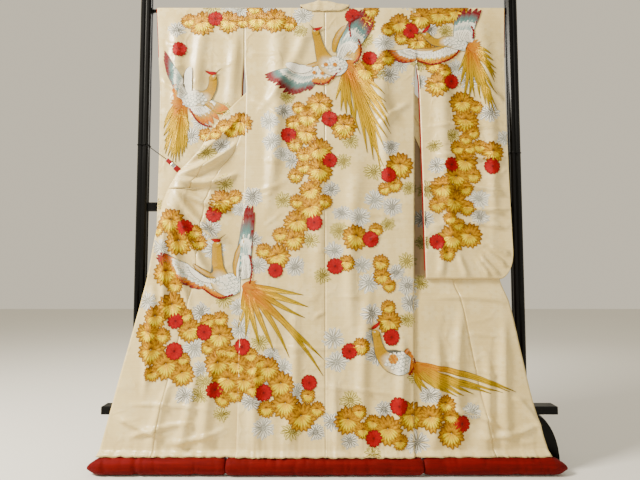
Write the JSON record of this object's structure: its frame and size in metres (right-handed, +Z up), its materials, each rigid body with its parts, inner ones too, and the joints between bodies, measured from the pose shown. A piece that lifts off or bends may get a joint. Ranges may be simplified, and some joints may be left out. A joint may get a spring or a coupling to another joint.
{
  "type": "uchikake wedding kimono on a kimono rack",
  "caption": "Ivory silk wedding over-kimono with long hanging sleeves and a padded red hem, hung by a thin rod on a black lacquered rack and seen from its back.",
  "frame": {"origin": "on the floor, at the middle of the part's footprint; the rod is straight above it", "axes": "+Z up, +X towards the wearer's right sleeve as seen from the garment's back, -Y towards the viewer of the back, +Y behind the rack"},
  "size_m": [1.6515, 0.2738, 1.8],
  "materials": {
    "ivory_satin": "ivory silk satin with a woven ground pattern, embroidered",
    "crimson_lining": "smooth crimson lining silk",
    "crimson_hem": "crimson silk over wadding",
    "black_lacquer": "black lacquer on wood, glossy",
    "black_cord": "thin braided cord",
    "clip_steel": "bright pressed steel",
    "clip_red": "smooth red plastic"
  },
  "bodies": {
    "root": {"back_left": "ivory_satin", "back_right": "ivory_satin", "clip_body": "clip_steel", "clip_cord": "black_cord", "clip_grip": "clip_red", "clip_jaw_far": "clip_red", "clip_jaw_near": "clip_red", "collar_left": "ivory_satin", "collar_neck": "ivory_satin", "collar_right": "ivory_satin", "cuff_lining_left": "crimson_lining", "cuff_lining_right": "crimson_lining", "front_left": "ivory_satin", "front_right": "ivory_satin", "hem_roll_back": "crimson_hem", "hem_roll_left": "crimson_hem", "hem_roll_right": "crimson_hem", "leg_far_left": "black_lacquer", "leg_far_right": "black_lacquer", "leg_near_left": "black_lacquer", "leg_near_right": "black_lacquer", "lower_plank": "black_lacquer", "mid_rail": "black_lacquer", "overlap_left": "ivory_satin", "overlap_right": "ivory_satin", "post_cord_left": "black_cord", "post_cord_right": "black_cord", "post_knot_left": "black_cord", "post_knot_right": "black_cord", "post_left": "black_lacquer", "post_right": "black_lacquer", "rod": "black_lacquer", "rod_socket_left": "black_lacquer", "rod_socket_right": "black_lacquer", "sleeve_left": "ivory_satin", "sleeve_lining_left": "crimson_lining", "sleeve_lining_right": "crimson_lining", "sleeve_right": "ivory_satin"}
  },
  "joints": []
}
